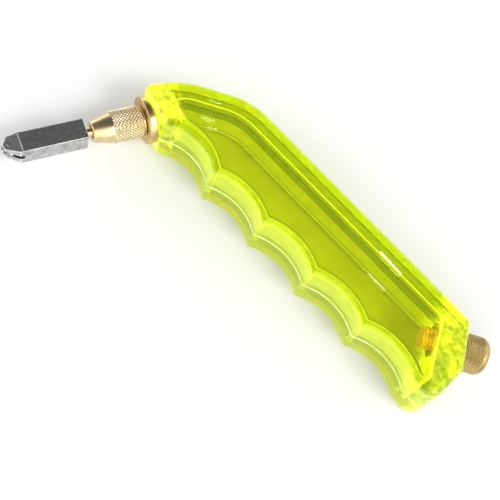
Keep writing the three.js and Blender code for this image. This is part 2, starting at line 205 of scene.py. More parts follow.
ARC_STEPS = 26
THICKNESS = 18.0
EDGE = 1.6
SEAM_GAP = 0.02
SEAM_CHAMFER = 0.42
GRIP = math.radians(67.7)
SHOULDER = math.radians(33.3)
CROWN = math.radians(1.3)
SHOULDER_POINT = (19.2, 0.06)
BROW = (-1.35, 6.63)
FRONT_FOOT = (0.18, -5.2)
CHIN = (2.1, -8.85)
BUTT_BACK = (62.68, -89.18)
BUTT_MIDDLE = (53.65, -101.4)
BUTT_FINGER = (40.38, -106.89)
FIRST_CUSP = np.array([7.92, -25.49])
PITCH = 19.9
GROOVE_DEPTH = 3.0
CHIN_DEPTH = 2.7
GROOVES = 4
CUSP_RADIUS = 0.9
SHARP_CORNER = (2.2, 10)  # radius and steps
SHOULDER_RADIUS = 22
GRIP_WAY = np.array([math.cos(GRIP), -math.sin(GRIP)])
INWARD = np.array([math.sin(GRIP), math.cos(GRIP)])
SHOULDER_WAY = np.array([math.cos(SHOULDER), -math.sin(SHOULDER)])
CROWN_WAY = np.array([math.cos(CROWN), -math.sin(CROWN)])

WELL_DEPTH = 13.6
WELL_EDGE = 1.2
BACK_WALL = 4.5
FINGER_WALL = 2.8
WELL_FRONT = 6.0
WELL_BUTT_BACK = (56.07, -85.79)
WELL_BUTT_FINGER = (42.7, -102.0)
WELL_CROWN = 0.66
WELL_CORNER = (1.6, 8)
WELL_OVERLAP = 2  # how far the well's tool passes the seam

BOSS_RADIUS = 6.3
BOSS_START = -1
BOSS_END = 8.5
BOSS_ROUND = 1.1
BUSH_RADIUS = 4.8
BUSH_HOLE_END = 9.5
COLLAR_RADIUS = 7.2
FILLER_BUSH_RADIUS = 4.9
FILLER_BUSH_LENGTH = 8.0
FILLER_HOLE = 11.0
PLUG_SHIFT = 1.75

FACET_WAY = np.subtract(BUTT_BACK, BUTT_MIDDLE) / np.linalg.norm(np.subtract(BUTT_BACK, BUTT_MIDDLE))
PLUG_SEAT = (np.array(BUTT_BACK) + BUTT_MIDDLE) / 2 + FACET_WAY * PLUG_SHIFT
PLUG_ANGLE = math.atan2(FACET_WAY[1], FACET_WAY[0]) - math.pi / 2
PLUG_COS, PLUG_SIN = math.cos(PLUG_ANGLE), math.sin(PLUG_ANGLE)


def cusp(index):
    """The cusp that many grooves from the nose."""
    return FIRST_CUSP + GRIP_WAY * PITCH * index


def outer_ring():
    """The handle's outline, from the front edge up and round over the back."""
    parts = [
        Line(FRONT_FOOT, BROW),
        Line(BROW, BROW + CROWN_WAY),
        Line(SHOULDER_POINT, SHOULDER_POINT + SHOULDER_WAY),
        Line(BUTT_BACK - GRIP_WAY, BUTT_BACK),
        Line(BUTT_BACK, BUTT_MIDDLE),
        Line(BUTT_MIDDLE, BUTT_FINGER),
        Line(BUTT_FINGER, cusp(GROOVES)),
    ]
    corners = [
        (CHIN, 2.6, 10),
        (BROW, *SHARP_CORNER),
        ((10, BROW[1]), 28, 24),
        (SHOULDER_POINT, SHOULDER_RADIUS, 24),
        (BUTT_BACK, *SHARP_CORNER),
        (BUTT_MIDDLE, *SHARP_CORNER),
        (BUTT_FINGER, 4.2, 12),
    ]
    for index in range(GROOVES, 0, -1):
        parts.append(groove_between(cusp(index), cusp(index - 1), GROOVE_DEPTH))
        corners.append((cusp(index), CUSP_RADIUS, 6))
    parts.append(groove_between(cusp(0), CHIN, CHIN_DEPTH))
    corners.append((cusp(0), CUSP_RADIUS, 6))
    return parts, corners


def well_ring():
    """The reservoir's outline."""
    shoulder = SHOULDER_POINT - np.array([math.sin(SHOULDER), math.cos(SHOULDER)]) * BACK_WALL
    grooves = [groove_between(cusp(i), cusp(i - 1), GROOVE_DEPTH).inset(FINGER_WALL)
               for i in range(GROOVES, 0, -1)]
    beyond = Hollow(grooves[-1].centre - GRIP_WAY * PITCH, grooves[-1].radius)
    first_inner = meet(grooves[-1], beyond, cusp(0) + INWARD * FINGER_WALL)
    last_inner = first_inner + GRIP_WAY * PITCH * GROOVES
    front_end = np.array([WELL_FRONT, CHIN[1] + FINGER_WALL])
    chin_radius = groove_between(cusp(0), CHIN, CHIN_DEPTH).radius + FINGER_WALL
    parts = [
        Line(front_end, (WELL_FRONT, WELL_CROWN)),
        Line((WELL_FRONT, WELL_CROWN), (WELL_FRONT, WELL_CROWN) + CROWN_WAY),
        Line(shoulder, shoulder + SHOULDER_WAY),
        Line(WELL_BUTT_BACK - GRIP_WAY, WELL_BUTT_BACK),
        Line(WELL_BUTT_BACK, WELL_BUTT_FINGER),
        Line(WELL_BUTT_FINGER, last_inner),
        *grooves,
        arc_between(first_inner, front_end, chin_radius),
    ]
    corners = [
        (front_end, 0.8, 6),
        ((WELL_FRONT, WELL_CROWN), *WELL_CORNER),
        ((12, WELL_CROWN), 7, 14),
        (shoulder, SHOULDER_RADIUS - BACK_WALL, 20),
        (WELL_BUTT_BACK, *WELL_CORNER),
        (WELL_BUTT_FINGER, *WELL_CORNER),
        *[(last_inner - GRIP_WAY * PITCH * i, 0.5, 5) for i in range(GROOVES + 1)],
    ]
    return parts, corners


# ---------------- meshes

SMOOTH_ANGLE = 35
SAME_POINT = 2e-6  # metres
NO_LENGTH = 1e-6
NEARLY_LEVEL = 0.9  # a face's lift is 1 where it lies flat and 0 where it stands upright
OVERRUN = 3  # how far a cutting tool passes the surface


def mesh_object(name, verts, faces, smooth_angle=SMOOTH_ANGLE):
    """An object from points in millimetres and the faces between them."""
    mesh = bpy.data.meshes.new(name)
    mesh.from_pydata([to_row(*v) for v in verts], [], faces)
    work = bmesh.new()
    work.from_mesh(mesh)
    bmesh.ops.remove_doubles(work, verts=work.verts, dist=SAME_POINT)
    bmesh.ops.dissolve_degenerate(work, edges=work.edges, dist=NO_LENGTH)
    bmesh.ops.recalc_face_normals(work, faces=work.faces)
    work.to_mesh(mesh)
    work.free()
    mesh.shade_smooth()
    mesh.set_sharp_from_angle(angle=math.radians(smooth_angle))
    piece = bpy.data.objects.new(name, mesh)
    bpy.context.scene.collection.objects.link(piece)
    return piece


def bands(rows, count, closed=False):
    """Four-sided faces between rows of count points each."""
    faces = []
    for row in range(rows if closed else rows - 1):
        low, high = row * count, (row + 1) % rows * count
        faces += [(low + i, low + (i + 1) % count, high + (i + 1) % count, high + i) for i in range(count)]
    return faces


def capped(rows, count):
    """The bands between the rows, and the faces that close both ends."""
    last = (rows - 1) * count
    return bands(rows, count) + [tuple(range(count))[::-1], tuple(range(last, last + count))]


def turned_points(profile, segments, relief=None, on_plug_axis=False):
    """Rows of points round the nose axis or the plug axis. relief(distance, radius, angle) moves one in or out."""
    points = []
    for distance, radius in profile:
        for index in range(segments):
            angle = 2 * math.pi * index / segments
            reach = relief(distance, radius, angle) if relief else radius
            points.append((distance, reach * math.cos(angle), reach * math.sin(angle)))
    return [plug_point(*p) for p in points] if on_plug_axis else points


def slab(name, ring, levels):
    """A solid whose outline at each (height, inset) level is the ring inset by that much."""
    layers = [ring_points(*ring, inset) for _, inset in levels]
    verts = [(p[0], p[1], height) for layer, (height, _) in zip(layers, levels) for p in layer]
    return mesh_object(name, verts, capped(len(levels), len(layers[0])))


def rounded_levels(top, edge, steps):
    """Levels for a rounded edge that ends at a flat top."""
    angles = [math.pi / 2 * step / steps for step in range(steps + 1)]
    return [(top - edge + edge * math.sin(a), edge - edge * math.cos(a)) for a in angles]


def cylinder(name, start, end, radius, on_plug_axis=False, segments=72):
    verts = turned_points([(start, radius), (end, radius)], segments, None, on_plug_axis)
    return mesh_object(name, verts, capped(2, segments))


def plug_point(x, y, z):
    """From the plug's frame, where x runs out along its axis, to the design's."""
    return (PLUG_SEAT[0] + x * PLUG_COS - y * PLUG_SIN, PLUG_SEAT[1] + x * PLUG_SIN + y * PLUG_COS, z)


def about_axis(point, on_plug_axis):
    """How far along the nose axis or the plug axis a mesh's point lies, and how far from it."""
    x, y, z = point * 1000 - ORIGIN
    if on_plug_axis:
        x, y = x - PLUG_SEAT[0], y - PLUG_SEAT[1]
        x, y = x * PLUG_COS + y * PLUG_SIN, -x * PLUG_SIN + y * PLUG_COS
    return x, math.hypot(y, z)


def combined(target, others):
    """The target with each (operation, tool) applied in turn; the tools are removed."""
    for operation, tool in others:
        step = target.modifiers.new("cut", "BOOLEAN")
        step.operation = operation
        step.object = tool
        step.solver = "EXACT"
    bpy.context.view_layer.update()
    graph = bpy.context.evaluated_depsgraph_get()
    mesh = bpy.data.meshes.new_from_object(target.evaluated_get(graph))
    target.modifiers.clear()
    target.data = mesh
    for _, tool in others:
        bpy.data.objects.remove(tool)
    return target


def shaded(piece, smooth_angle):
    """Smooth between the sharp edges, with normals that follow the larger faces."""
    piece.data.shade_smooth()
    piece.data.set_sharp_from_angle(angle=math.radians(smooth_angle))
    piece.modifiers.new("normals", "WEIGHTED_NORMAL").keep_sharp = True
    return piece


def without_slivers(mesh):
    """Splits the upright many-sided faces a cut leaves, and takes out the empty triangles among them."""
    work = bmesh.new()
    work.from_mesh(mesh)
    many_sided = [face for face in work.faces if len(face.verts) > 4 and abs(face.normal.z) < NEARLY_LEVEL]
    bmesh.ops.triangulate(work, faces=many_sided)
    bmesh.ops.dissolve_degenerate(work, edges=work.edges, dist=SAME_POINT)
    work.to_mesh(mesh)
    work.free()


# ---------------- handle

# the materials of one half, in the order of its slots
KINDS = range(12)
(CLEAR, RESIN, WELL_SIDE, SEAM, BOND, END_BLOCK, WELL_FINGER, BACK, FINGER, RIM, SEAM_IN_SHADE,
 PLUG_RESIN) = KINDS
BORE_BAND = 0.12
LEVEL, STEEP, CHAMFER_LIFT = 0.93, 0.35, 0.3
BACKWARD = 0.2
BUTT_MARGIN = 0.4
BLOCK_FRONT = 7.0
WALL_SHARE = 1.9
BUTT_WAY = np.array([WELL_BUTT_BACK[1] - WELL_BUTT_FINGER[1], WELL_BUTT_FINGER[0] - WELL_BUTT_BACK[0]])
BUTT_WAY /= np.linalg.norm(BUTT_WAY)


def dense_outline(steps=40):
    """Points all along the handle's outline."""
    ring = ring_points(*outer_ring(), 0)
    return np.array([a + (b - a) * t for a, b in zip(ring, ring[1:] + ring[:1]) for t in np.linspace(0, 1, steps)])


OUTLINE = dense_outline()


def depth_inside(x, y):
    """How far a point lies inside the handle's outline."""
    return np.linalg.norm(OUTLINE - np.array([x, y]), axis=1).min()


def on_bore(face, start, end, radius, on_plug_axis):
    along, away = about_axis(face.center, on_plug_axis)
    return start < along < end and abs(away - radius) < BORE_BAND


def surface_kind(face):
    """Which of the handle's materials a face of one half takes, apart from the bores."""
    x, y, z = face.center * 1000 - ORIGIN
    lift = abs(face.normal.z)
    if abs(z) < SEAM_GAP and lift > NEARLY_LEVEL:
        return BOND
    towards_back = face.normal.x * INWARD[0] + face.normal.y * INWARD[1]
    faces_back = towards_back > BACKWARD
    if abs(z) < SEAM_GAP / 2 + SEAM_CHAMFER and CHAMFER_LIFT < lift < NEARLY_LEVEL:
        # seam faces turned to the back take the copy in painted shade
        return SEAM_IN_SHADE if faces_back else SEAM
    if BOSS_END - BOSS_ROUND < x < BOSS_END - 0.1 and math.hypot(y, z) < BOSS_RADIUS:
        return RIM
    in_butt = (np.array([x, y]) - WELL_BUTT_BACK) @ BUTT_WAY > -BUTT_MARGIN
    if lift < STEEP and (in_butt or (x < BLOCK_FRONT and y > -BOSS_RADIUS)):
        return END_BLOCK
    inside = abs(z) < WELL_DEPTH / 2 and depth_inside(x, y) > WALL_SHARE
    if lift < STEEP and inside:
        return WELL_SIDE if towards_back < 0 else WELL_FINGER
    if lift > LEVEL:
        return CLEAR
    at_edge = z > THICKNESS / 2 - EDGE and faces_back and not in_butt
    if (inside and (z > 0 or towards_back < 0)) or at_edge:
        return RIM
    return BACK if faces_back else FINGER


def handle_shell(name, side, skins):
    """One half of the handle: side is 1 for the near half and -1 for the far one."""
    def flipped(levels):
        return [(height * side, inset) for height, inset in levels]

    outer = slab(name, outer_ring(), flipped([
        (SEAM_GAP / 2, SEAM_CHAMFER), (SEAM_GAP / 2 + SEAM_CHAMFER, 0), *rounded_levels(THICKNESS / 2, EDGE, 6)]))
    well = slab("well", well_ring(), flipped([
        (-WELL_OVERLAP, 0), *rounded_levels(WELL_DEPTH / 2, WELL_EDGE, 4)]))
    boss_profile = softened([
        (BOSS_START, 0), (BOSS_START, BOSS_RADIUS), (BOSS_END, BOSS_RADIUS), (BOSS_END, 0)], BOSS_ROUND)
    combined(well, [("DIFFERENCE", lathe("boss", boss_profile, 96))])
    front_radius = BUSH_RADIUS + GAP / 2
    filler_radius = FILLER_BUSH_RADIUS + GAP / 2
    piece = combined(outer, [
        ("DIFFERENCE", well),
        ("DIFFERENCE", cylinder("spot", -WELL_FRONT, 0, COLLAR_RADIUS + GAP)),
        ("DIFFERENCE", cylinder("bush", -WELL_FRONT, BUSH_HOLE_END, front_radius)),
        ("DIFFERENCE", cylinder("filler", -FILLER_HOLE, OVERRUN, filler_radius, True)),
    ])
    without_slivers(piece.data)
    piece.data.materials.clear()
    for kind in KINDS:
        piece.data.materials.append(skins[kind])
    for face in piece.data.polygons:
        if on_bore(face, -FILLER_BUSH_LENGTH, 0.1, filler_radius, True):
            face.material_index = PLUG_RESIN
        elif on_bore(face, 0, BUSH_HOLE_END + 0.1, front_radius, False):
            face.material_index = RESIN
        else:
            face.material_index = surface_kind(face)
    return shaded(piece, SMOOTH_ANGLE)


# ---------------- turned parts

FILLET_STEPS = 3
ROOM = 0.42  # the most of a side that one corner's rounding takes
KNURL_FLOOR = 2.6


def curve(start, corner, end, steps):
    """Points from start to end, bending towards the corner."""
    return [(1 - t) ** 2 * start + 2 * t * (1 - t) * corner + t ** 2 * end for t in np.linspace(0, 1, steps + 1)]


def softened(profile, cut, closed=False):
    """The profile with each corner rounded; a corner on the axis stays."""
    points = [np.array(p, float) for p in profile]
    result = []
    for index, corner in enumerate(points):
        at_end = not closed and index in (0, len(points) - 1)
        before, after = points[index - 1], points[(index + 1) % len(points)]
        if at_end or corner[1] == 0:
            result.append(corner)
            continue
        back, forward = before - corner, after - corner
        room = min(cut, ROOM * np.linalg.norm(back), ROOM * np.linalg.norm(forward))
        start = corner + back / np.linalg.norm(back) * room
        end = corner + forward / np.linalg.norm(forward) * room
        result += curve(start, corner, end, FILLET_STEPS)
    return result


def refined(profile, start, end, spacing, closed=False):
    """The profile with more rows between two distances, where it is wide enough for a knurl or a thread."""
    result = []
    count = len(profile)
    for index in range(count if closed else count - 1):
        a, b = np.array(profile[index], float), np.array(profile[(index + 1) % count], float)
        result.append(a)
        middle = (a[0] + b[0]) / 2
        outward = a[1] > KNURL_FLOOR and b[1] > KNURL_FLOOR
        if start < middle < end and outward and abs(b[0] - a[0]) > spacing:
            steps = math.ceil(abs(b[0] - a[0]) / spacing)
            result += [a + (b - a) * step / steps for step in range(1, steps)]
    if not closed:
        result.append(np.array(profile[-1], float))
    return result




def lathe(name, profile, segments, relief=None, closed=False, on_plug_axis=False, smooth_angle=SMOOTH_ANGLE):
    """A body turned about an axis."""
    verts = turned_points(profile, segments, relief, on_plug_axis)
    return mesh_object(name, verts, bands(len(profile), segments, closed), smooth_angle)


def note_relief(piece, start, end, radius, rise, on_plug_axis=False):
    """Stores how high each point stands on a knurl, for the metal's painted shade in the grooves and painted
    highlight on the crests; a half elsewhere.
    """
    values = []
    for vert in piece.data.vertices:
        along, away = about_axis(vert.co, on_plug_axis)
        height = (away - radius) / rise
        knurl = start < along < end and height > -0.1
        values.append(min(max(height, 0), 1) if knurl else 0.5)
    piece.data.attributes.new("relief", "FLOAT", "POINT").data.foreach_set("value", values)
    return piece


def ridge(phase):
    """A wave of straight ridges: 0 in the grooves and 1 at the crests."""
    return 1 - abs(2 * (phase % 1) - 1)


ON_SURFACE = 0.05  # how far from a radius still counts as on it
CREST = 1.25  # above 1, it makes a knurl's diamonds flat on top


def knurled(start, end, radius, around, rise, slant=1.0):
    """Relief for diamonds cut by two families of helical grooves."""
    pitch = 2 * math.pi * radius / around * slant

    def relief(distance, reach, angle):
        if not start < distance < end or reach < radius - ON_SURFACE:
            return reach
        turn = angle * around / (2 * math.pi)
        along = (distance - start) / pitch
        height = min(ridge(turn + along), ridge(turn - along))
        fade = min(1, (distance - start) / (pitch / 3), (end - distance) / (pitch / 3))
        return reach + rise * min(height * CREST, 1) * fade
    return relief


def threaded(start, end, radius, pitch, depth):
    """Relief for a helical thread, fading out at both ends."""
    def relief(distance, reach, angle):
        if not start < distance < end or abs(reach - radius) > ON_SURFACE:
            return reach
        fade = min(1, (distance - start) / pitch, (end - distance) / pitch)
        return reach - depth * ridge(distance / pitch - angle / (2 * math.pi)) * fade
    return relief


def ribbed(radius, depth, pitch):
    """Relief for rings round a bush, which hold it in the plastic."""
    def relief(distance, reach, angle):
        return reach - depth * ridge(distance / pitch) if reach > radius - ON_SURFACE else reach
    return relief


def both(first, second):
    return lambda distance, reach, angle: second(distance, first(distance, reach, angle), angle)


# ---------------- metal dimensions

SHANK_RADIUS = 3.3
BUSH_BORE = SHANK_RADIUS + GAP
BUSH_LENGTH = 8.2
BUSH_ROUND = 0.3
ROW = 0.2  # spacing of a bush's rows
COLLAR_LENGTH = 2.4
COLLAR_GROOVE = (4.6, 6.0)
COLLAR_GROOVE_DEPTH = 1.2
SLEEVE_RADIUS = 4.5
SLEEVE_FRONT = -18.5
SLEEVE_TIP = 3.1
SLEEVE_REAR = 6.5
SLEEVE_BORE = 2.1
LIP_BORE = 1.8
LIP_LENGTH = 2.5
SLEEVE_GROOVE = (4.9, 5.9)
SLEEVE_GROOVE_FLOOR = 2.5
CONE_START = -13.2
SHOULDER_X = -2 * GAP - COLLAR_LENGTH
KNURL_AROUND = 30
KNURL_RISE = 0.28
KNURL_SLANT = 1.15
SPINDLE_RADIUS = 1.5
SPINDLE_FRONT = -26.5
FLANGE_RADIUS = 1.8
FLANGE_LENGTH = 1.2
TAIL_RADIUS = 1.0
TAIL_BORE = 0.6
TAIL_END = 2.8
SPRING_RADIUS = 1.56
WIRE_RADIUS = 0.19
SPRING_TURNS = 8
FLAT_TURNS = 0.7  # part of a turn that lies flat at each end
SPRING_FRONT = -14.19
SPRING_REAR = -3.34
PLUG_RADIUS = 5.4
PLUG_SHOULDER = 7.2
PLUG_END = 8.9
PLUG_SHANK_END = -11.5
PLUG_GROOVE = (3.9, 5.1)
PLUG_GROOVE_END = 1.3
PLUG_KNURL_AROUND = 46
PLUG_KNURL_RISE = 0.2
THREAD_PITCH = 1.0
THREAD_DEPTH = 0.25

HEAD_REAR = -20.2
HEAD_HALF = 3.2
HEAD_TIP = -44.7
UPPER_SHOULDER = -42.5
LOWER_SHOULDER = -39.9
CHEEK_START = -39.2
CHEEK_TIP_HALF = 1.5
TIP_FLAT = 0.9
SLOT_HALF = 0.75
SLOT_END = -38.7
WHEEL_RADIUS = 2.2
WHEEL_HALF = 0.475
WHEEL_SETBACK = 2.55
AXLE_RADIUS = 0.5
AXLE_HALF = 2.25
AXLE_CLEARANCE = 0.04
WICK_BORE = 0.7
HEAD_BEVEL = 0.0002  # metres
BEVEL_ANGLE = math.radians(12)


def unit(x, y):
    return np.array([x, y]) / math.hypot(x, y)


UPPER_FACE = unit(UPPER_SHOULDER - HEAD_TIP, HEAD_HALF)
LOWER_FACE = unit(LOWER_SHOULDER - HEAD_TIP, -HEAD_HALF)
TIP_AXIS = unit(*(UPPER_FACE + LOWER_FACE))
TIP = np.array([HEAD_TIP, 0.0])
WHEEL_CENTRE = TIP + TIP_AXIS * WHEEL_SETBACK


def turned_about_z(name, profile, segments, smooth_angle=30):
    """A closed ring turned about the wheel's axis; the profile is (height, radius)."""
    verts = [(WHEEL_CENTRE[0] + x, WHEEL_CENTRE[1] + y, height)
             for height, x, y in turned_points(profile, segments)]
    return mesh_object(name, verts, bands(len(profile), segments, True), smooth_angle)


def prism(name, outline, low, high, upright):
    """An outline pushed through a thickness, along Z or along Y."""
    if upright:
        verts = [(x, y, z) for z in (low, high) for x, y in outline]
    else:
        verts = [(x, y, z) for y in (low, high) for x, z in outline]
    return mesh_object(name, verts, capped(2, len(outline)), 20)


def head_block():
    """The steel head. Its second material is for the bevelled edges and paints a highlight along them."""
    def tip_corner(face):
        return tuple(TIP + face * TIP_FLAT / (face @ TIP_AXIS))

    reach, rear = 2 * HEAD_HALF, HEAD_REAR + 1
    block = prism("head_body", [
        (HEAD_REAR, HEAD_HALF), (UPPER_SHOULDER, HEAD_HALF), tip_corner(UPPER_FACE), tip_corner(LOWER_FACE),
        (LOWER_SHOULDER, -HEAD_HALF), (HEAD_REAR, -HEAD_HALF)], -HEAD_HALF, HEAD_HALF, True)
    cheeks = prism("cheeks", [
        (rear, HEAD_HALF), (CHEEK_START, HEAD_HALF), (HEAD_TIP, CHEEK_TIP_HALF),
        (HEAD_TIP, -CHEEK_TIP_HALF), (CHEEK_START, -HEAD_HALF), (rear, -HEAD_HALF)],
        -reach, reach, False)
    combined(block, [("INTERSECT", cheeks)])
    for material in (STEEL, EDGE_HIGHLIGHT):
        block.data.materials.append(material)
    bevel = block.modifiers.new("edges", "BEVEL")
    bevel.width = HEAD_BEVEL
    bevel.material = 1
    bevel.segments = 2
    bevel.limit_method = "ANGLE"
    bevel.angle_limit = BEVEL_ANGLE
    mouth = HEAD_TIP - OVERRUN
    tools = [prism("slot", [(SLOT_END, SLOT_HALF), (mouth, SLOT_HALF), (mouth, -SLOT_HALF),
                            (SLOT_END, -SLOT_HALF)], -reach, reach, False),
             cylinder("socket", SPINDLE_FRONT - GAP, HEAD_REAR + OVERRUN, SPINDLE_RADIUS + GAP),
             cylinder("oil_way", SLOT_END - OVERRUN, SPINDLE_FRONT, WICK_BORE),
             pin("axle_bore", AXLE_RADIUS + AXLE_CLEARANCE, AXLE_HALF + OVERRUN)]
    combined(block, [("DIFFERENCE", tool) for tool in tools])
    return shaded(block, 28)


def pin(name, radius, half, cut=1e-3):
    profile = [(-half, 0), (-half, radius - cut), (-half + cut, radius), (half - cut, radius),
               (half, radius - cut), (half, 0)]
    return turned_about_z(name, profile, 40)


# ---------------- materials

class Tree:
    """A short way to write a material's nodes."""

    def __init__(self, name):
        self.material = bpy.data.materials.new(name)
        self.material.use_nodes = True
        self.nodes = self.material.node_tree.nodes
        self.nodes.clear()
        self.out = self.nodes.new("ShaderNodeOutputMaterial")

    def link(self, source, target):
        self.material.node_tree.links.new(source, target)

    def finish(self, shader):
        """The material, with this shader on its surface."""
        self.link(shader.outputs[0], self.out.inputs["Surface"])
        return self.material

    def add(self, kind, settings=None, **inputs):
        """A node; its inputs are given by name, or by number as i0, i1 and so on."""
        node = self.nodes.new("ShaderNode" + kind)
        for key, value in (settings or {}).items():
            setattr(node, key, value)
        for key, value in inputs.items():
            slot = node.inputs[int(key[1:])] if key[0] == "i" and key[1:].isdigit() else \
                node.inputs[key.replace("_", " ")]
            if isinstance(value, bpy.types.NodeSocket):
                self.link(value, slot)
            else:
                slot.default_value = value
        return node

    def math(self, operation, *values, clamp=False):
        node = self.add("Math", {"operation": operation, "use_clamp": clamp},
                        **{f"i{i}": value for i, value in enumerate(values)})
        return node.outputs[0]

    def spread(self, value, low, high, to_low=0.0, to_high=1.0):
        node = self.add("MapRange", {"interpolation_type": "SMOOTHSTEP"}, Value=value, From_Min=low,
                        From_Max=high, To_Min=to_low, To_Max=to_high)
        return node.outputs[0]

    def blend(self, share, first, second):
        node = self.add("MixRGB", None, Fac=share, Color1=first, Color2=second)
        return node.outputs[0]

    def place(self, scale=(1, 1, 1)):
        """Object coordinates in millimetres, stretched by scale."""
        where = self.add("TexCoord").outputs["Object"]
        return self.add("Mapping", None, Vector=where, Scale=[1000 * s for s in scale]).outputs[0]

    def noise(self, scale, detail=2.0, stretch=(1, 1, 1), roughness=0.5):
        node = self.add("TexNoise", None, Vector=self.place(stretch), Scale=scale, Detail=detail,
                        Roughness=roughness)
        return node.outputs[0]

    def bump(self, height, distance, strength=1.0):
        return self.add("Bump", None, Height=height, Distance=distance, Strength=strength).outputs[0]


def rgba(red, green, blue):
    return (red, green, blue, 1)


# each half has its own values: 1 is the near half and -1 the far one; the two halves' different tints and glows
# paint the different light and shade each half shows
PLASTIC_IOR = 1.49
PLASTIC_TINT = rgba(0.86, 0.89, 0.36)
# painted shade: the near half's well wall is tinted much darker than the far half's
WELL_SHADING_TINTS = {1: rgba(0.24, 0.28, 0.14), -1: rgba(0.82, 0.84, 0.42)}
FINGER_TINTS = {1: rgba(0.82, 0.85, 0.16), -1: rgba(0.78, 0.82, 0.42)}
ABSORB_COLOUR = rgba(0.962, 0.976, 0.04)
ABSORB_DENSITY = 450
# painted glow: the plastic's emission stands for light its faces gather, and the rim's paler glow colour paints a
# highlight along the rims
GLOW_COLOUR = rgba(0.82, 0.92, 0.07)
RIM_COLOUR = rgba(0.88, 0.94, 0.34)
FACE_GLOW = 0.03
SIDE_GLOWS = {1: 0.28, -1: 0.1}
BACK_GLOWS = {1: 0.8, -1: 0.45}
FINGER_GLOWS = {1: 0.42, -1: 0.1}
END_GLOWS = {1: 0.04, -1: 0.12}
RIM_GLOWS = {1: 0.6, -1: 0.5}
# painted glow in the solid plastic round the plug bore and, NOSE_SHARE times as strong, round the nose bore
PAINTED_BORE_GLOW = 0.55
NOSE_SHARE = 1.5
SHADE = 0.94  # how dark the plastic's cloudy patches are
RIPPLE_HEIGHT = 0.00025  # metres, as all bump heights are
FINE_BUMP = 0.00003


def plastic_volume(t):
    """Makes the plastic yellow by how far light goes through it."""
    absorb = t.add("VolumeAbsorption", None, Color=ABSORB_COLOUR, Density=ABSORB_DENSITY)
    t.link(absorb.outputs[0], t.out.inputs["Volume"])


def painted_bore_glow(t):
    """Where the painted glow goes: 1 in the solid plastic round the nose bore and round the plug bore, 0 along the
    grip.
    """
    where = t.place()
    level = BUTT_WAY @ (np.array(WELL_BUTT_BACK) + ORIGIN.to_2d())
    behind = t.add("VectorMath", {"operation": "DOT_PRODUCT"}, i0=where, i1=(*BUTT_WAY, 0))
    butt = t.spread(behind.outputs["Value"], level - 3.5, level + 0.6)
    across, along = t.add("SeparateXYZ", None, Vector=where).outputs[:2]
    front, under = ORIGIN.x + WELL_FRONT, ORIGIN.y - BOSS_RADIUS
    nose = t.math("MULTIPLY", t.spread(across, front - 0.5, front + 1.0, 1.0, 0.0),
                  t.spread(along, under - 1.6, under + 0.4, 0.0, NOSE_SHARE))
    return t.math("MAXIMUM", butt, nose)


def clear_plastic(name, tint, low_roughness, high_roughness, side_glow, face_glow,
                  glow_colour=GLOW_COLOUR, ripple=0.02):
    """Clear fluorescent plastic: yellow by absorption, with a painted glow at its side faces for the light they
    gather.
    """
    t = Tree(name)
    waves = t.noise(0.12, 1.0)
    mottle = t.noise(0.55, 3.0)
    shader = t.add("BsdfPrincipled", None, IOR=PLASTIC_IOR, Transmission_Weight=1.0)
    shade = t.spread(t.noise(0.16, 3.0), 0.3, 0.7)
    t.link(t.blend(shade, tint, rgba(*[c * SHADE for c in tint[:3]])), shader.inputs["Base Color"])
    t.link(t.spread(mottle, 0.35, 0.75, low_roughness, high_roughness), shader.inputs["Roughness"])
    t.link(t.bump(waves, RIPPLE_HEIGHT, ripple), shader.inputs["Normal"])
    # painted glow: emission on faces that stand upright, scaled by side_glow and varied by noise
    normal = t.add("NewGeometry").outputs["Normal"]
    lift = t.math("ABSOLUTE", t.add("SeparateXYZ", None, Vector=normal).outputs[2])
    side = t.spread(lift, 0.25, 0.9, 1.0, 0.0)
    grain = t.spread(t.noise(0.35, 4.0), 0.3, 0.7, 0.72, 1.0)
    glow = t.math("MULTIPLY", t.math("MULTIPLY", side, grain), side_glow)
    shader.inputs["Emission Color"].default_value = glow_colour
    # painted glow round the bores, mottled
    haze = t.math("MULTIPLY", painted_bore_glow(t), t.spread(mottle, 0.35, 0.7, 0.4 * PAINTED_BORE_GLOW, 1.2 * PAINTED_BORE_GLOW))
    t.link(t.math("ADD", glow, t.math("MAXIMUM", haze, face_glow)), shader.inputs["Emission Strength"])
    path = t.add("LightPath")
    soft = t.math("MAXIMUM", path.outputs["Is Shadow Ray"], path.outputs["Is Diffuse Ray"])
    clear = t.add("BsdfTransparent", None, Color=rgba(0.97, 0.98, 0.9))
    plastic_volume(t)
    return t.finish(t.add("MixShader", None, i0=soft, i1=shader.outputs[0], i2=clear.outputs[0]))


def seam_line(name, light, dark, glow):
    """The weld bead between the two halves, with a painted glow along the finger side where it catches light."""
    t = Tree(name)
    grain = t.noise(0.7, 4.0)
    colour = t.blend(t.spread(grain, 0.3, 0.7), light, dark)
    plastic_volume(t)
    return t.finish(t.add("BsdfPrincipled", None, Base_Color=colour, Roughness=0.3, IOR=PLASTIC_IOR,
                          Transmission_Weight=0.4, Emission_Color=colour, Emission_Strength=glow))


def bond_face():
    """The faces that are welded together: nothing shows there but a few specks of haze."""
    t = Tree("bond_face")
    specks = t.spread(t.noise(0.9, 4.0), 0.62, 0.85, 0.0, 0.25)
    haze = t.add("BsdfDiffuse", None, Color=rgba(0.7, 0.8, 0.05))
    clear = t.add("BsdfTransparent", None, Color=rgba(1, 1, 1))
    plastic_volume(t)
    return t.finish(t.add("MixShader", None, i0=specks, i1=clear.outputs[0], i2=haze.outputs[0]))


def bonded_resin(name, light, dark):
    """The cloudy joint round a metal insert, with a painted glow for the light of the plastic about it."""
    t = Tree(name)
    cells = t.add("TexVoronoi", {"feature": "SMOOTH_F1"}, Vector=t.place(), Scale=0.55).outputs[0]
    cloud = t.noise(0.8, 5.0, roughness=0.65)
    share = t.spread(t.math("ADD", t.math("MULTIPLY", cells, 0.7), cloud), 0.62, 1.0)
    colour = t.blend(share, light, dark)
    return t.finish(t.add("BsdfPrincipled", None, Base_Color=colour, Roughness=0.35, Emission_Color=colour,
                          Emission_Strength=0.15, Normal=t.bump(cloud, 0.0004, 0.8)))


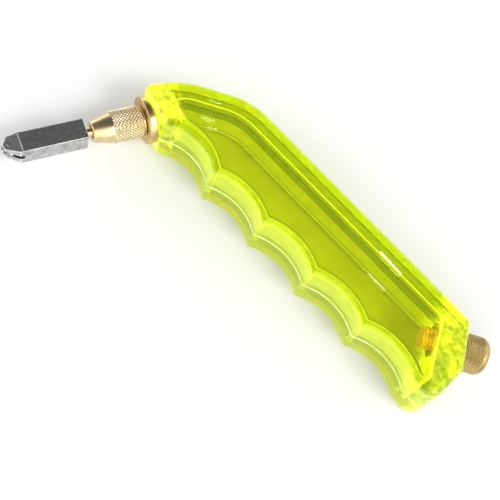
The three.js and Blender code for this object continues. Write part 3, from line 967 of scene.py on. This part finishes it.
def worked_metal(name, light, dark, roughness, grain_scale=1.6, turned=(0.06, 1, 1), knurl_groove_shade=None,
                 knurl_crest_highlight=None):
    """Machined metal: fine tool lines, cloudy tarnish and a little pitting; on a knurl, painted shade in the
    grooves and a painted highlight on the crests.
    """
    t = Tree(name)
    lines = t.noise(9.0, 3.0, turned, 0.7)
    cloud = t.noise(0.35, 4.0)
    grain = t.noise(grain_scale, 5.0, roughness=0.7)
    tarnish = t.math("ADD", t.math("MULTIPLY", cloud, 0.6), t.math("MULTIPLY", grain, 0.5))
    colour = t.blend(t.spread(tarnish, 0.4, 0.72), light, dark)
    # painted shade in the knurl's grooves and painted highlight on its crests
    if knurl_groove_shade:
        height = t.add("Attribute", {"attribute_name": "relief"}).outputs["Fac"]
        crest = t.blend(t.spread(height, 0.55, 0.95), colour, knurl_crest_highlight)
        colour = t.blend(t.spread(height, 0.05, 0.45), knurl_groove_shade, crest)
    polish = t.math("ADD", t.spread(lines, 0.3, 0.7, -0.06, 0.08),
                    t.spread(cloud, 0.3, 0.7, roughness - 0.04, roughness + 0.06))
    height = t.math("ADD", t.math("MULTIPLY", lines, 0.5), grain)
    return t.finish(t.add("BsdfPrincipled", None, Base_Color=colour, Metallic=1.0, Roughness=polish,
                          Normal=t.bump(height, FINE_BUMP, 0.35)))


def lit_shank():
    """Brass inside the handle, oiled, with a painted glow for the light the glowing plastic casts on it from all
    round.
    """
    t = Tree("lit_shank")
    cloud = t.noise(0.6, 4.0)
    colour = t.blend(t.spread(cloud, 0.3, 0.7), rgba(0.98, 0.66, 0.20), rgba(0.80, 0.42, 0.08))
    return t.finish(t.add("BsdfPrincipled", None, Base_Color=colour, Metallic=0.8,
                          Roughness=t.spread(cloud, 0.3, 0.7, 0.25, 0.4), Emission_Color=colour,
                          Emission_Strength=0.3, Normal=t.bump(t.noise(3.0, 3.0), FINE_BUMP, 0.4)))


def rubber():
    """Black rubber with a dull, grainy bloom."""
    t = Tree("rubber")
    grain = t.noise(4.0, 4.0)
    colour = t.blend(t.spread(grain, 0.35, 0.75), rgba(0.012, 0.012, 0.013), rgba(0.045, 0.044, 0.042))
    return t.finish(t.add("BsdfPrincipled", None, Base_Color=colour, Normal=t.bump(grain, FINE_BUMP, 0.5),
                          Roughness=t.spread(grain, 0.3, 0.7, 0.5, 0.8)))


def cotton():
    """Twisted cotton thread."""
    t = Tree("cotton")
    wave = t.add("TexWave", {"bands_direction": "DIAGONAL"}, Vector=t.place(), Scale=0.9, Distortion=1.5,
                 Detail=2.0).outputs[1]
    colour = t.blend(wave, rgba(0.42, 0.38, 0.28), rgba(0.78, 0.74, 0.62))
    return t.finish(t.add("BsdfPrincipled", None, Base_Color=colour, Roughness=0.95,
                          Normal=t.bump(wave, 0.0001, 0.8)))


# knurls: painted shade in the grooves, painted highlight on the crests
BRASS_KNURL = worked_metal("knurl_brass", rgba(0.82, 0.68, 0.42), rgba(0.66, 0.51, 0.27), 0.22,
                           knurl_groove_shade=rgba(0.40, 0.31, 0.17), knurl_crest_highlight=rgba(1.0, 0.98, 0.92))
BRASS = worked_metal("nose_brass", rgba(0.78, 0.60, 0.30), rgba(0.55, 0.37, 0.15), 0.27)
BRASS_PLUG = worked_metal("plug_brass", rgba(0.50, 0.37, 0.14), rgba(0.34, 0.23, 0.07), 0.36, 2.4,
                          knurl_groove_shade=rgba(0.19, 0.12, 0.04), knurl_crest_highlight=rgba(0.78, 0.64, 0.33))
STEEL = worked_metal("head_steel", rgba(0.60, 0.60, 0.595), rgba(0.32, 0.32, 0.32), 0.3, 1.1, (0.25, 1, 1))
# painted highlight: a pale metal for the head's bevelled edges
EDGE_HIGHLIGHT = worked_metal("edge_highlight", rgba(0.85, 0.85, 0.84), rgba(0.55, 0.55, 0.55), 0.5)
BRIGHT_STEEL = worked_metal("bright_steel", rgba(0.62, 0.62, 0.63), rgba(0.42, 0.42, 0.43), 0.25)
CARBIDE = worked_metal("wheel_carbide", rgba(0.34, 0.34, 0.36), rgba(0.18, 0.18, 0.2), 0.22)
BRASS_SHANK = lit_shank()
RUBBER = rubber()
COTTON = cotton()


# ---------------- pieces

SHARED_SKINS = {
    # painted glow in both joints; the nose joint is painted brighter than the plug's
    RESIN: bonded_resin("nose_resin", rgba(0.92, 0.94, 0.24), rgba(0.36, 0.40, 0.01)),
    PLUG_RESIN: bonded_resin("plug_resin", rgba(0.64, 0.68, 0.02), rgba(0.36, 0.40, 0.0)),
    SEAM: seam_line("seam_line", rgba(0.80, 0.88, 0.32), rgba(0.55, 0.64, 0.10), 0.3),
    # painted shade: a darker, dimmer copy of the seam for faces turned to the back
    SEAM_IN_SHADE: seam_line("seam_in_shade", rgba(0.58, 0.66, 0.05), rgba(0.38, 0.44, 0.01), 0.18),
    BOND: bond_face(),
}


def shell_skins(name, side):
    """The material for each kind of face of one half."""
    def plastic(part, *values, **named):
        return clear_plastic(f"{name}_{part}", *values, **named)

    return SHARED_SKINS | {
        CLEAR: plastic("plastic", PLASTIC_TINT, 0.012, 0.032, 0.0, FACE_GLOW, ripple=0.004),
        RIM: plastic("rim", PLASTIC_TINT, 0.1, 0.3, RIM_GLOWS[side], FACE_GLOW, glow_colour=RIM_COLOUR),
        FINGER: plastic("finger", FINGER_TINTS[side], 0.015, 0.06, SIDE_GLOWS[side], FACE_GLOW),
        WELL_SIDE: plastic("well_side", WELL_SHADING_TINTS[side], 0.03, 0.1, 0.06, 0.01),
        END_BLOCK: plastic("end_block", PLASTIC_TINT, 0.15, 0.4, END_GLOWS[side], FACE_GLOW),
        WELL_FINGER: plastic("well_finger", PLASTIC_TINT, 0.03, 0.1, FINGER_GLOWS[side], FACE_GLOW),
        BACK: plastic("back", PLASTIC_TINT, 0.015, 0.06, BACK_GLOWS[side], FACE_GLOW),
    }


def front_insert():
    """The bush the sleeve screws into."""
    profile = softened([(GAP, BUSH_BORE), (GAP, BUSH_RADIUS), (BUSH_LENGTH, BUSH_RADIUS),
                        (BUSH_LENGTH, BUSH_BORE)], BUSH_ROUND, True)
    rows = refined(profile, GAP, BUSH_LENGTH, ROW, True)
    return lathe("front_insert", rows, 72, ribbed(BUSH_RADIUS, 0.35, 1.6), True)


def filler_insert():
    """The bush the plug screws into."""
    profile = softened([(-FILLER_BUSH_LENGTH, BUSH_BORE), (-FILLER_BUSH_LENGTH, FILLER_BUSH_RADIUS),
                        (-GAP, FILLER_BUSH_RADIUS), (-GAP, BUSH_BORE)], BUSH_ROUND, True)
    rows = refined(profile, -FILLER_BUSH_LENGTH, -GAP, ROW, True)
    return lathe("filler_insert", rows, 72, ribbed(FILLER_BUSH_RADIUS, 0.25, 1.3), True, True)


def collar_ring():
    rear, front = -GAP, -GAP - COLLAR_LENGTH
    floor = rear - COLLAR_GROOVE_DEPTH
    inner, outer = COLLAR_GROOVE
    return lathe("collar_ring", softened([
        (front, BUSH_BORE), (front, COLLAR_RADIUS), (rear, COLLAR_RADIUS), (rear, outer), (floor, outer),
        (floor, inner), (rear, inner), (rear, BUSH_BORE)], 0.3, True), 128, None, True)


def knurled_sleeve():
    """A cone and a knurled grip outside the handle, a threaded shank in it, and a bore for the spindle."""
    shoulder, lip = SHOULDER_X + 0.2, SLEEVE_FRONT + LIP_LENGTH
    start, end = SLEEVE_GROOVE
    profile = softened([
        (SLEEVE_FRONT, LIP_BORE), (SLEEVE_FRONT, SLEEVE_TIP), (CONE_START, SLEEVE_RADIUS),
        (shoulder, SLEEVE_RADIUS), (shoulder, SHANK_RADIUS), (start, SHANK_RADIUS),
        (start, SLEEVE_GROOVE_FLOOR), (end, SLEEVE_GROOVE_FLOOR), (end, SHANK_RADIUS),
        (SLEEVE_REAR, SHANK_RADIUS), (SLEEVE_REAR, SLEEVE_BORE), (lip, SLEEVE_BORE), (lip, LIP_BORE)], 0.35, True)
    rows = refined(profile, CONE_START, start - 0.2, 0.11, True)
    knurl = knurled(CONE_START + 0.5, SHOULDER_X - 0.5, SLEEVE_RADIUS, KNURL_AROUND, KNURL_RISE, KNURL_SLANT)
    relief = both(knurl, threaded(-1.0, start - 0.3, SHANK_RADIUS, THREAD_PITCH, THREAD_DEPTH))
    sleeve = lathe("knurled_sleeve", rows, 9 * KNURL_AROUND, relief, True, smooth_angle=30)
    return note_relief(sleeve, CONE_START + 0.6, SHOULDER_X - 0.6, SLEEVE_RADIUS, KNURL_RISE)


def spindle_rod():
    flange = SLEEVE_FRONT + LIP_LENGTH + GAP
    behind = flange + FLANGE_LENGTH
    return lathe("spindle_rod", softened([
        (SPINDLE_FRONT, WICK_BORE), (SPINDLE_FRONT, SPINDLE_RADIUS), (flange, SPINDLE_RADIUS),
        (flange, FLANGE_RADIUS), (behind, FLANGE_RADIUS), (behind, TAIL_RADIUS), (TAIL_END, TAIL_RADIUS),
        (TAIL_END, TAIL_BORE), (flange, TAIL_BORE), (flange, WICK_BORE)], 0.15, True), 48, None, True)


def coil_spring(steps=48, sides=16):
    """The return spring: wire wound about the nose axis, lying flat for part of a turn at each end."""
    first, last = SPRING_FRONT + WIRE_RADIUS, SPRING_REAR - WIRE_RADIUS
    count = SPRING_TURNS * steps
    verts = []
    for step in range(count + 1):
        turns = step / count * SPRING_TURNS
        rise = min(max((turns - FLAT_TURNS) / (SPRING_TURNS - 2 * FLAT_TURNS), 0), 1)
        x, turn = first + (last - first) * rise, turns * 2 * math.pi
        for side in range(sides):
            corner = side * 2 * math.pi / sides
            reach = SPRING_RADIUS + WIRE_RADIUS * math.cos(corner)
            verts.append((x + WIRE_RADIUS * math.sin(corner), reach * math.cos(turn), reach * math.sin(turn)))
    return mesh_object("coil_spring", verts, capped(count + 1, sides))


def plug_body():
    """The filler plug: a knurled head with a domed end, a seal's groove under it, and a threaded shank."""
    under = 2 * GAP
    dome = curve(*np.array([[PLUG_SHOULDER - 0.3, PLUG_RADIUS], [8.6, 4.9], [PLUG_END, 2.8]]), 9)
    inner, outer = PLUG_GROOVE
    profile = softened([
        (PLUG_SHANK_END, 0), (PLUG_SHANK_END, SHANK_RADIUS - 0.6), (PLUG_SHANK_END + 0.6, SHANK_RADIUS),
        (under, SHANK_RADIUS), (under, inner), (PLUG_GROOVE_END, inner), (PLUG_GROOVE_END, outer),
        (under, outer)], 0.2)
    profile += [np.array(p) for p in ((under + 0.02, 5.2), (under + 0.25, PLUG_RADIUS))]
    profile += [*dome, np.array((PLUG_END, 0.0))]
    rows = refined(profile, PLUG_SHANK_END + 0.7, PLUG_SHOULDER, 0.1)
    relief = both(knurled(under + 0.4, PLUG_SHOULDER - 0.35, PLUG_RADIUS, PLUG_KNURL_AROUND, PLUG_KNURL_RISE),
                  threaded(PLUG_SHANK_END + 0.6, -0.6, SHANK_RADIUS, THREAD_PITCH, THREAD_DEPTH))
    plug = lathe("plug_body", rows, 8 * PLUG_KNURL_AROUND, relief, False, True, smooth_angle=30)
    return note_relief(plug, under + 0.5, PLUG_SHOULDER - 0.45, PLUG_RADIUS, PLUG_KNURL_RISE, True)


def wheel_disc():
    bore = AXLE_RADIUS + AXLE_CLEARANCE
    hub = WHEEL_RADIUS - 0.7
    return turned_about_z("wheel_disc", softened([
        (-WHEEL_HALF, bore), (-WHEEL_HALF, hub), (-0.02, WHEEL_RADIUS), (0.02, WHEEL_RADIUS),
        (WHEEL_HALF, hub), (WHEEL_HALF, bore)], 0.06, True), 96)


def settle(piece, material, body, node):
    """Puts a piece in a node's place. A piece made with its own materials keeps them."""
    if not piece.data.materials:
        piece.data.materials.append(material)
    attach(piece, body)
    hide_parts(node)


for side, name, node in ((1, "near_shell", "handle_near_shell"), (-1, "far_shell", "handle_far_shell")):
    settle(handle_shell(name, side, shell_skins(name, side)), None, "handle", node)
settle(front_insert(), BRASS, "handle", "front_bush")
settle(filler_insert(), BRASS, "handle", "filler_bush")
settle(collar_ring(), BRASS, "nose_collar", "nose_collar")
settle(knurled_sleeve(), BRASS_KNURL, "nose_sleeve", "nose_sleeve")
settle(spindle_rod(), BRASS, "head", "spindle")
spring = coil_spring()
settle(spring, BRIGHT_STEEL, "nose_sleeve", "return_spring")
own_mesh(spring)
plug = plug_body()
settle(plug, BRASS_PLUG, "filler_plug", "filler_plug")
plug.data.materials.append(BRASS_SHANK)
for face in plug.data.polygons:
    face.material_index = int(about_axis(face.center, True)[0] < 0)
settle(head_block(), None, "head", "head_block")
settle(wheel_disc(), CARBIDE, "wheel", "cutting_wheel")
settle(pin("axle_pin", AXLE_RADIUS, AXLE_HALF, 0.08), STEEL, "head", "wheel_axle")

carried = {
    "collar_seal": RUBBER, "sleeve_seal": RUBBER, "plug_seal": RUBBER, "valve_disc": RUBBER,
    "spring_washer": BRIGHT_STEEL, "valve_clip": BRIGHT_STEEL,
    "valve_seat": BRASS, "oil_wick": COTTON,
}
for node, material in carried.items():
    nodes[node].data.materials.clear()
    nodes[node].data.materials.append(material)


# ---------------- stage
# Places here are in metres, in the row's frame, and powers are in watts.

WORLD_LIGHT, CEILING_LIGHT = 1.85, 0.135
DARK_WAY = (0.07, 0.325, 0.943)  # the middle of the dark ceiling
DARK_FROM, DARK_WHOLE = 0.46, 0.82  # cosines of the angle from it
FLOOR_HALF = 1500
LAMPS = [("key", (0.25, -0.5, 0.62), (0.35, 0.25), 2.4), ("fill", (-0.75, 0.3, 0.35), (0.3, 0.4), 0.8)]
GLINT_AWAY = 0.3
GLINTS = [  # name, across, down, length, width, turn, radiance
    ("glint_crown", 208, 119, 15, 0.7, 12, 14),
    ("glint_crown_2", 212, 128, 11, 0.6, 12, 12),
    ("glint_crown_3", 216, 102, 13, 0.7, 20, 12),
    ("glint_floor", 377, 282, 24, 1.6, 47, 8),
    ("glint_back", 390.5, 263, 31, 2.0, 48, 18),
]


def add_area(name, place, size, power, rotation):
    data = bpy.data.lights.new(name, "AREA")
    data.shape = "RECTANGLE"
    data.size, data.size_y = size
    data.energy = power
    lamp = bpy.data.objects.new(name, data)
    bpy.context.scene.collection.objects.link(lamp)
    lamp.location = place
    lamp.rotation_mode = "QUATERNION"
    lamp.rotation_quaternion = rotation
    return lamp


def add_glint(name, across, down, length, width, turn, radiance):
    """A strip lamp that mirrors in the handle's flat side; its place and size are in the photograph's pixels."""
    ray = RIGHT * (across - FRAME_PIXELS / 2) + DOWN * (down - FRAME_PIXELS / 2) + FORWARD * FOCAL_PIXELS
    ray.normalize()
    eye = bpy.context.scene.camera.location
    face_height = (THICKNESS / 2 + ORIGIN.z) / 1000
    hit = eye + ray * ((face_height - eye.z) / ray.z)
    bounce = Vector((ray.x, ray.y, -ray.z))
    scale = (GLINT_AWAY + (hit - eye).length) / FOCAL_PIXELS
    size = (length * scale, width * scale)
    slope = math.radians(turn)
    streak = RIGHT * math.cos(slope) + DOWN * math.sin(slope)
    long_way = Vector((streak.x, streak.y, -streak.z)).normalized()
    rotation = Matrix((long_way, bounce.cross(long_way), bounce)).transposed().to_quaternion()
    power = math.pi * size[0] * size[1] * radiance
    add_area(name, hit + bounce * GLINT_AWAY, size, power, rotation).visible_camera = False


def add_world():
    """Pale studio walls under a dark ceiling."""
    world = bpy.data.worlds.new("world")
    world.use_nodes = True
    tree = world.node_tree
    facing = tree.nodes.new("ShaderNodeVectorMath")
    facing.operation = "DOT_PRODUCT"
    tree.links.new(tree.nodes.new("ShaderNodeTexCoord").outputs["Generated"], facing.inputs[0])
    facing.inputs[1].default_value = DARK_WAY
    level = tree.nodes.new("ShaderNodeMapRange")
    level.interpolation_type = "SMOOTHSTEP"
    for name, value in (("From Min", DARK_FROM), ("From Max", DARK_WHOLE), ("To Min", WORLD_LIGHT),
                        ("To Max", CEILING_LIGHT)):
        level.inputs[name].default_value = value
    tree.links.new(facing.outputs["Value"], level.inputs["Value"])
    background = tree.nodes["Background"]
    background.inputs["Color"].default_value = rgba(1, 1, 1)
    tree.links.new(level.outputs[0], background.inputs["Strength"])
    bpy.context.scene.world = world


def add_stage():
    corners = ((-1, -1), (1, -1), (1, 1), (-1, 1))
    floor = mesh_object("floor", [(x * FLOOR_HALF, y * FLOOR_HALF, -THICKNESS / 2) for x, y in corners],
                        [(0, 1, 2, 3)])
    t = Tree("floor")
    floor.data.materials.append(t.finish(
        t.add("BsdfPrincipled", None, Base_Color=rgba(0.92, 0.92, 0.925), Roughness=0.9)))
    add_world()
    for name, place, size, power in LAMPS:
        add_area(name, place, size, power, (-Vector(place)).to_track_quat("-Z", "Y"))
    for glint in GLINTS:
        add_glint(*glint)


add_camera()
add_stage()
bpy.context.scene.view_settings.view_transform = "Standard"
